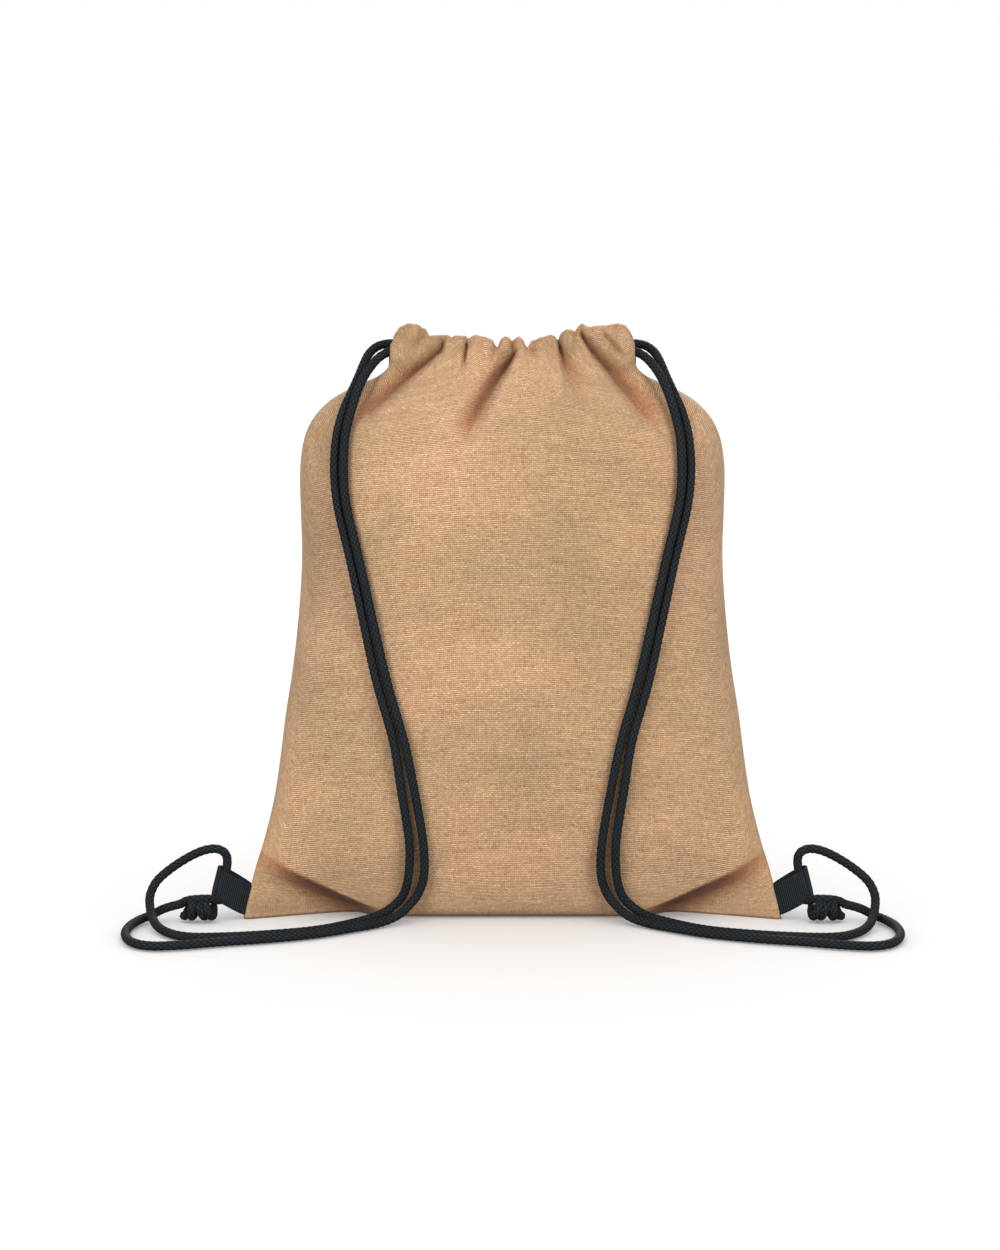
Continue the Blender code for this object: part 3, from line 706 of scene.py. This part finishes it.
def braided(points, diameter, relief):
    """A round tube along points, with the relief of its braid."""
    rings = []
    flat = []
    ahead = (points[1] - points[0]).normalized()
    up = ahead.orthogonal().normalized()
    reach = 0
    for index, point in enumerate(points):
        if index:
            reach += (point - points[index - 1]).length
        after = points[min(index + 1, len(points) - 1)]
        before = points[max(index - 1, 0)]
        ahead = (after - before).normalized()
        up = (up - ahead * up.dot(ahead)).normalized()
        out = ahead.cross(up)
        ring = []
        picks = reach / BRAID_STEP
        for step in range(AROUND + 1):
            angle = 2 * pi * (step % AROUND) / AROUND
            radius = 0.5 * diameter - relief * (1 - braid_height(STRANDS * step / AROUND, picks))
            ring.append(point + up * (radius * cos(angle)) + out * (radius * sin(angle)))
        rings.append(ring)
        flat.append([(STRANDS * step / AROUND, picks) for step in range(AROUND + 1)])
    shape = grid(AROUND + 1, len(rings), rings, flat, BRAID_MAP)
    bmesh.ops.remove_doubles(shape, verts=shape.verts, dist=0.0001)
    bmesh.ops.holes_fill(shape, edges=[edge for edge in shape.edges if edge.is_boundary], sides=0)
    bmesh.ops.recalc_face_normals(shape, faces=shape.faces)
    return shape


def thicken(shape, thickness, side):
    """Give a panel its thickness inwards, with no spike at a crease and nothing past a seam."""
    layer = shape.verts.layers.int.new("number")
    for number, vert in enumerate(shape.verts):
        vert[layer] = number
    outer = {vert[layer]: vert for vert in shape.verts}
    bmesh.ops.solidify(shape, geom=shape.faces[:], thickness=thickness)
    longest = LONGEST_STEP * thickness
    for vert in shape.verts:
        face = outer[vert[layer]]
        if vert == face:
            continue
        step = vert.co - face.co
        if step.length > longest:
            vert.co = face.co + step.normalized() * longest
        if vert.co.z < SLIT[1]:
            limit = seam_plane(vert.co.x, max(vert.co.z, 0)) + side * SEAM_GAP
            vert.co.y = side * max(side * vert.co.y, side * limit)
    shape.verts.layers.int.remove(layer)


class Wire:
    """A value on a node's output. Arithmetic on it adds Math nodes to the same finish."""

    def __init__(self, finish, socket):
        self.finish = finish
        self.socket = socket

    def math(self, operation, *values):
        """One Math node."""
        return self.finish.node("ShaderNodeMath", {"operation": operation}, values)

    def __add__(self, other):
        return self.math("ADD", self, other)

    __radd__ = __add__

    def __sub__(self, other):
        return self.math("SUBTRACT", self, other)

    def __rsub__(self, other):
        return self.math("SUBTRACT", other, self)

    def __mul__(self, other):
        return self.math("MULTIPLY", self, other)

    __rmul__ = __mul__

    def __truediv__(self, other):
        return self.math("DIVIDE", self, other)

    def __pow__(self, other):
        return self.math("POWER", self, other)

    def __gt__(self, other):
        return self.math("GREATER_THAN", self, other)

    def __mod__(self, other):
        return self.math("FLOORED_MODULO", self, other)

    def floor(self):
        return self.math("FLOOR", self)

    def sine(self):
        return self.math("SINE", self)

    def cosine(self):
        return self.math("COSINE", self)

    def most(self, other):
        return self.math("MAXIMUM", self, other)

    def between(self, low, high):
        """0 below low, 1 above high, smooth between."""
        return self.finish.node(
            "ShaderNodeMapRange", {"interpolation_type": "SMOOTHSTEP"}, (self, low, high))

    def pick(self, low, high):
        """low where this is 0, high where it is 1."""
        return low + (high - low) * self


class Finish:
    """A material whose pattern is written as arithmetic on its wires."""

    def __init__(self, name, constants):
        self.material = bpy.data.materials.new(name)
        self.material.use_nodes = True
        self.tree = self.material.node_tree
        self.shader = self.tree.nodes["Principled BSDF"]
        for socket, value in constants.items():
            self.feed(self.shader.inputs[socket], value)

    def feed(self, socket, value):
        """Link a wire to a socket, or set its value."""
        if isinstance(value, Wire):
            self.tree.links.new(value.socket, socket)
        else:
            socket.default_value = value

    def node(self, kind, settings=None, values=(), output=0):
        """One node of a type, its settings first, then the values or links of its sockets."""
        made = self.tree.nodes.new(kind)
        for name, value in (settings or {}).items():
            if name == "stops":
                ramp = made.color_ramp.elements
                while len(ramp) < len(value):
                    ramp.new(0.5)
                for stop, (place, colour) in zip(ramp, value):
                    stop.position = place
                    stop.color = (*colour, 1)
            else:
                setattr(made, name, value)
        pairs = values.items() if isinstance(values, dict) else enumerate(values)
        for socket, value in pairs:
            self.feed(made.inputs[socket], value)
        if isinstance(output, tuple):
            return tuple(Wire(self, made.outputs[number]) for number in output)
        return Wire(self, made.outputs[output])

    def surface(self, map_name):
        """The two coordinates of a UV map."""
        place = self.node("ShaderNodeUVMap", {"uv_map": map_name})
        return self.node("ShaderNodeSeparateXYZ", None, (place,), (0, 1))

    def grain(self, x, y, z, detail=1):
        """Smooth noise, about 0 to 1, at a place counted in its own grains."""
        place = self.node("ShaderNodeCombineXYZ", None, (x, y, z))
        return self.node(
            "ShaderNodeTexNoise", None, {"Vector": place, "Scale": 1, "Detail": detail})

    def mix(self, share, low, high, blend="MIX"):
        """A colour between two, low at 0 and high at 1, or another blend of them."""
        first, second = (c if isinstance(c, Wire) else (*c, 1) for c in (low, high))
        return self.node("ShaderNodeMix", {"data_type": "RGBA", "blend_type": blend},
                         {0: share, 6: first, 7: second}, 2)

    def ramp(self, value, places, colours):
        """The colours at these places of a value, and between them."""
        return self.node("ShaderNodeValToRGB", {"stops": tuple(zip(places, colours))}, (value,))

    def colour(self, wire):
        """What the surface's colour is."""
        self.feed(self.shader.inputs["Base Color"], wire)

    def raised(self, height, distance, strength=1):
        """Bump from a height between 0 and 1."""
        bump = self.node(
            "ShaderNodeBump", None, {"Strength": strength, "Distance": distance, "Height": height})
        self.feed(self.shader.inputs["Normal"], bump)


def jute_finish():
    """Plain weave of uneven yarns: pale and dark stretches, slubs and flecks, painted shade in the
    gaps between them and painted shade in the folds.
    """
    look = bpy.context.scene.sack_jute
    cloth = Finish(
        "jute_weave", {"Roughness": 0.93, "Specular IOR Level": 0.15, "Sheen Weight": 0.04})
    u, v = cloth.surface(CLOTH_MAP)
    lean = cloth.grain(u * 22, v * 45, 1.7)
    sway = cloth.grain(u * 45, v * 22, 5.9)
    warp = u / look.warp + (lean - 0.5) * 1.6
    weft = v / look.weft + (sway - 0.5) * 1.3
    warp_yarn = warp.floor()
    weft_yarn = weft.floor()
    warp_tone = cloth.grain(warp_yarn * 1.73, v * 180, 9.3, 2) * 0.4 + 0.28
    weft_tone = cloth.grain(u * 48, weft_yarn * 1.73, 3.1) * 0.33 + cloth.grain(
        u * 330, weft_yarn * 2.9, 13.1) * 0.62 + 0.025
    slub = cloth.grain(u * 75, weft_yarn * 2.37, 17.2)
    warp_slub = cloth.grain(warp_yarn * 2.37, v * 75, 27.2)
    warp_round = (pi * (warp - warp_yarn)).sine() ** YARN_CROWN
    weft_round = (pi * (weft - weft_yarn)).sine() ** YARN_CROWN
    warp_over = (pi * (weft + 0.5 + warp_yarn)).cosine()
    weft_over = (pi * (warp - 0.5 + weft_yarn)).cosine()
    warp_height = warp_round * (0.40 + 0.38 * warp_over) * (0.72 + 0.5 * warp_slub)
    weft_height = weft_round * (0.72 + 0.26 * weft_over) * (0.72 + 0.6 * slub)
    height = warp_height.most(weft_height)
    on_top = weft_height > warp_height
    tone = on_top.pick(warp_tone, weft_tone)
    yarn = cloth.ramp(tone, (0.32, 0.5, 0.68), (look.dark, look.middle, look.light))
    # painted shade between the yarns: darker towards the gap colour where the weave lies low
    shaded = cloth.mix(height.between(0.17, 0.66), look.gap, yarn)
    patch = cloth.grain(u * 11, v * 14, 44, 2)
    hue = cloth.grain(u * 38, weft_yarn * 3.3, 71)
    mottle = cloth.mix((patch - 0.5) * 2.4 + (hue - 0.5) * 0.5 + 0.5, *PATCHES)
    mottled = cloth.mix(1, shaded, mottle, "MULTIPLY")
    # painted shade in the folds, under the corner folds, on the bottom and on the hem, read from the
    # mesh
    hollow = cloth.node("ShaderNodeAttribute", {"attribute_name": PAINTED_SHADE_LAYER}, (), 2)
    painted_shade_colour = cloth.ramp(hollow, (0, 0.5, 1), (WHITE[:3], look.hollow, look.under))
    painted_shaded = cloth.mix(1, mottled, painted_shade_colour, "MULTIPLY")
    fleck = cloth.grain(warp * 0.31, weft * 0.47, 63)
    cloth.colour(cloth.mix(fleck.between(0.73, 0.80) * 0.75, painted_shaded, FLECK))
    cloth.raised(height, look.relief, 0.7)
    return cloth.material


def times(factor, shade):
    """A colour made this many times as bright."""
    return tuple(factor * part for part in shade)


def cord_finish():
    """Charcoal braid: painted highlight in pale fuzz on its strands' crowns, painted shade in black
    grooves, filaments along each strand.
    """
    look = bpy.context.scene.sack_cord
    cord = Finish("braided_cord", {"Roughness": 0.7, "Specular IOR Level": 0.04})
    turn, along = cord.surface(BRAID_MAP)
    one = turn + along
    other = turn - along
    over = (one.floor() + other.floor()) % 2
    across = over.pick(one - one.floor(), other - other.floor())
    crown = (pi * across).sine()
    filament = (pi * 9 * across).sine()
    fuzz = cord.grain(turn * 7, along * 7, 2.2, 2)
    # painted shade in the grooves, and a painted highlight of paler fuzz on the crowns
    shade = cord.mix(crown.between(0.2, 0.9), look.painted_groove_shade, look.shade)
    cord.colour(cord.mix(fuzz.between(0.45, 0.75) * crown, shade, times(2.2, look.shade)))
    cord.raised(crown * 0.6 + filament * 0.12 + fuzz * 0.3, *BRAID_BUMP)
    return cord.material


def webbing_finish():
    """Black ribbed webbing with a close fine weave along its ribs, painted shade between the ribs
    and a painted highlight on them.
    """
    look = bpy.context.scene.sack_webbing
    web = Finish("ribbed_webbing", {"Roughness": 0.7, "Specular IOR Level": 0.04})
    along, across = web.surface(WEB_MAP)
    rib = (2 * pi / (RIB * MM) * along).cosine() * 0.5 + 0.5
    pick = (2 * pi / WEB_PICK * across).cosine() * 0.5 + 0.5
    fuzz = web.grain(along * 900, across * 900, 4, 2)
    # painted shade between the ribs, and a painted highlight of paler rib tops with paler fuzz on
    # them
    shade = web.mix(rib.between(0.1, 0.8), times(0.25, look.shade), times(1.3, look.shade))
    web.colour(web.mix(fuzz.between(0.45, 0.75) * rib, shade, times(2.6, look.shade)))
    web.raised(rib * 0.4 + pick * rib * 0.4 + fuzz * 0.2, *WEB_BUMP)
    return web.material


def shared(name, maker):
    """A finish that several pieces wear, made once."""
    return bpy.data.materials.get(name) or maker()


def aimed(place, target):
    """Turn of a camera or lamp that looks from a place to a target."""
    return (Vector(target) - Vector(place)).to_track_quat("-Z", "Y").to_euler()


def knot_shape(mirror, relief):
    """The knot: the doubled cord turned round itself in two lobes, with the cord crossing over."""
    long, deep, high = KNOT_HALF
    turns = []
    for step in range(KNOT_STEPS + 1):
        share = step / KNOT_STEPS
        angle = 2 * pi * (KNOT_TURNS * share - KNOT_START)
        lobe = 1 if share > 0.5 else -1
        lean = -KNOT_LEAN * sin(angle) * lobe
        x = -long + 2 * long * share + lean + KNOT_SPLIT * lobe
        swell = 1 - KNOT_WAIST * abs(abs(2 * share - 1) - 0.5) * 2
        y = deep * swell * cos(angle)
        z = high * swell * sin(angle) - KNOT_DROP
        turns.append(Vector(KNOT_CENTRE) + Vector((x, y, z)))
    whole = bmesh.new()
    whole.loops.layers.uv.new(BRAID_MAP)
    for route in (turns, KNOT_BAND):
        part = bpy.data.meshes.new("turn")
        tube = braided(mirrored(route, mirror), CORD, relief)
        tube.to_mesh(part)
        tube.free()
        whole.from_mesh(part)
        bpy.data.meshes.remove(part)
    return whole


def tab_line():
    """Middle of a tab's webbing as (outwards, depth, 0): out, round the fold and back."""
    line = list(TAB_FRONT)
    for step in range(1, int(180 / TAB_TURN)):
        turn = radians(TAB_TURN * step - 90)
        line.append((TAB_REACH + TAB_LOOP * cos(turn), TAB_LOOP * sin(turn)))
    line += [(reach, -depth) for reach, depth in reversed(TAB_FRONT)]
    return [(reach, depth, 0) for reach, depth in line]


def tab_shape(mirror, relief):
    """A loop of ribbed webbing sewn into a bottom corner."""
    line = along_route(tab_line(), TAB_STEP)
    lift = radians(TAB_LIFT)
    low, high = TAB_ROOT
    rows = []
    flat = []
    reach = 0
    for index, here in enumerate(line):
        after = line[min(index + 1, len(line) - 1)]
        before = line[max(index - 1, 0)]
        if index:
            reach += (here - before if index == len(line) - 1 else 0.5 * (after - before)).length
        run = (after - before).normalized()
        out = here.x + run.y * 0.5 * WEBBING
        depth = here.y - run.x * 0.5 * WEBBING
        row = []
        across = [(high - low) * cross / TAB_ACROSS for cross in range(TAB_ACROSS + 1)]
        for z in (low + place for place in across):
            away = section(z, HALF) + out * cos(lift)
            row.append(Vector((-mirror * away, section(z, SEAM) + depth, z + out * sin(lift))))
        rows.append(row)
        flat.append([(reach * MM, place * MM) for place in across])
    shape = grid(TAB_ACROSS + 1, len(rows), rows, flat, WEB_MAP)
    if mirror > 0:
        bmesh.ops.reverse_faces(shape, faces=shape.faces)
    shape.normal_update()
    bmesh.ops.solidify(shape, geom=shape.faces[:], thickness=WEBBING)
    bmesh.ops.recalc_face_normals(shape, faces=shape.faces)
    shape.normal_update()
    layer = shape.loops.layers.uv[WEB_MAP]
    for vert in shape.verts:
        along = vert.link_loops[0][layer].uv.x / MM
        vert.co += vert.normal * (relief * cos(2 * pi * along / RIB))
    return shape


class SACK_OT_stage(bpy.types.Operator):
    """Set the camera at the photograph's angle, and lay the pale floor and its soft lights"""

    bl_idname = "sack.stage"
    bl_label = "Camera, floor and lights"

    def execute(self, context):
        look = context.scene.sack_stage
        eye = bpy.data.objects.new("camera", bpy.data.cameras.new("camera"))
        eye.location = (CAMERA_TARGET[0], CAMERA_TARGET[1] - look.distance, CAMERA_HEIGHT)
        eye.rotation_euler = aimed(eye.location, CAMERA_TARGET)
        eye.data.lens = look.lens
        eye.data.sensor_width = SENSOR
        context.collection.objects.link(eye)
        context.scene.camera = eye
        shape = bmesh.new()
        bmesh.ops.create_grid(shape, x_segments=1, y_segments=1, size=FLOOR_HALF)
        bmesh.ops.translate(shape, vec=(0, 0, -FLOOR_DROP), verts=shape.verts)
        paper = Finish("pale_floor", {"Base Color": PAPER, "Roughness": 0.95,
                                      "Emission Color": WHITE, "Emission Strength": 0.13})
        ground = finished("floor", shape, paper.material, smooth=False)
        around = bpy.data.collections.new("surroundings")
        around.objects.link(ground)
        for name, place, size, share in SOFTBOXES:
            lamp = bpy.data.lights.new(name, "AREA")
            lamp.shape = "DISK"
            lamp.size = size
            lamp.energy = share * look.key
            made = bpy.data.objects.new(name, lamp)
            made.location = place
            made.rotation_euler = aimed(place, LIT_POINT)
            made.light_linking.receiver_collection = around
            context.collection.objects.link(made)
        around.collection_objects[0].light_linking.link_state = "EXCLUDE"
        world = context.scene.world or bpy.data.worlds.new("studio")
        context.scene.world = world
        world.use_nodes = True
        sky = world.node_tree.nodes["Background"]
        sky.inputs["Color"].default_value = WHITE
        sky.inputs["Strength"].default_value = look.sky
        context.scene.view_settings.view_transform = "Standard"
        return {"FINISHED"}


class SACK_OT_knots(bpy.types.Operator):
    """Tie the knot that joins the two strands of each cord"""

    bl_idname = "sack.knots"
    bl_label = "Knots"

    def execute(self, context):
        relief = context.scene.sack_cord.relief / MM
        for side, mirror in SIDES:
            knot = finished("knot_" + side + "_tied", knot_shape(mirror, relief),
                            shared("braided_cord", cord_finish))
            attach(knot, "root")
            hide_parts("knot_" + side)
        return {"FINISHED"}


class SACK_OT_cords(bpy.types.Operator):
    """Braid the two strands of each cord along their routes"""

    bl_idname = "sack.cords"
    bl_label = "Cords"

    def execute(self, context):
        relief = context.scene.sack_cord.relief / MM
        for side, mirror in SIDES:
            for strand, route in (("a", STRAND_A), ("b", STRAND_B)):
                line = mirrored(route, mirror)
                cord = finished("cord_" + side + "_" + strand + "_braid",
                                braided(line, CORD, relief), shared("braided_cord", cord_finish))
                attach(cord, "root")
                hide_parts("cord_" + side + "_" + strand)
        return {"FINISHED"}


class SACK_OT_panels(bpy.types.Operator):
    """Weave the front and back panels, with their folds, gathers and casing"""

    bl_idname = "sack.panels"
    bl_label = "Jute panels"

    def execute(self, context):
        thickness = context.scene.sack_jute.thickness / MM
        for name, side, edge, folds, dents in (
            ("front_panel", -1, FRONT_EDGE, FRONT_FOLDS, FRONT_DENTS),
            ("back_panel", 1, BACK_EDGE, BACK_FOLDS, BACK_DENTS),
        ):
            rows, painted_shades = panel_points(side, edge, folds, dents)
            flat = [[(across * MM, up * MM) for across, up in row] for row in laid_flat(rows)]
            shape = grid(len(rows[0]), len(rows), rows, flat, CLOTH_MAP, painted_shades)
            if side > 0:
                bmesh.ops.reverse_faces(shape, faces=shape.faces)
            shape.normal_update()
            thicken(shape, thickness, side)
            panel = finished(name + "_cloth", shape, shared("jute_weave", jute_finish))
            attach(panel, "root")
            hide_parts(name)
        return {"FINISHED"}


class SACK_OT_tabs(bpy.types.Operator):
    """Sew the webbing tabs into the bottom corners"""

    bl_idname = "sack.tabs"
    bl_label = "Webbing tabs"

    def execute(self, context):
        relief = context.scene.sack_webbing.relief / MM
        for side, mirror in SIDES:
            tab = finished("tab_" + side + "_webbing", tab_shape(mirror, relief),
                           shared("ribbed_webbing", webbing_finish))
            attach(tab, "root")
            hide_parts("tab_" + side)
        return {"FINISHED"}


class SACK_PT_parts(bpy.types.Panel):
    """The sack's settings and its operators"""

    bl_idname = "SACK_PT_parts"
    bl_label = "Sack"
    bl_space_type = "VIEW_3D"
    bl_region_type = "UI"
    bl_category = "Sack"

    def draw(self, context):
        for group in (getattr(context.scene, name) for name in SETTINGS):
            box = self.layout.box()
            for name in group.__annotations__:
                box.prop(group, name)
        for maker in OPERATORS:
            self.layout.operator(maker.bl_idname)


OPERATORS = (SACK_OT_stage, SACK_OT_knots, SACK_OT_cords, SACK_OT_panels, SACK_OT_tabs)
SETTINGS = {
    "sack_jute": JuteSettings,
    "sack_cord": CordSettings,
    "sack_webbing": WebbingSettings,
    "sack_stage": StageSettings,
}


def register():
    """Add the settings, the operators and the panel."""
    for name, group in SETTINGS.items():
        bpy.utils.register_class(group)
        setattr(bpy.types.Scene, name, PointerProperty(type=group))
    for item in (*OPERATORS, SACK_PT_parts):
        bpy.utils.register_class(item)


def unregister():
    """Take them away again."""
    for item in reversed((*OPERATORS, SACK_PT_parts)):
        bpy.utils.unregister_class(item)
    for name, group in reversed(SETTINGS.items()):
        delattr(bpy.types.Scene, name)
        bpy.utils.unregister_class(group)


def main():
    """Make every piece in order."""
    register()
    bpy.ops.sack.stage()
    bpy.ops.sack.knots()
    bpy.ops.sack.cords()
    bpy.ops.sack.panels()
    bpy.ops.sack.tabs()


if __name__ == "__main__":
    main()
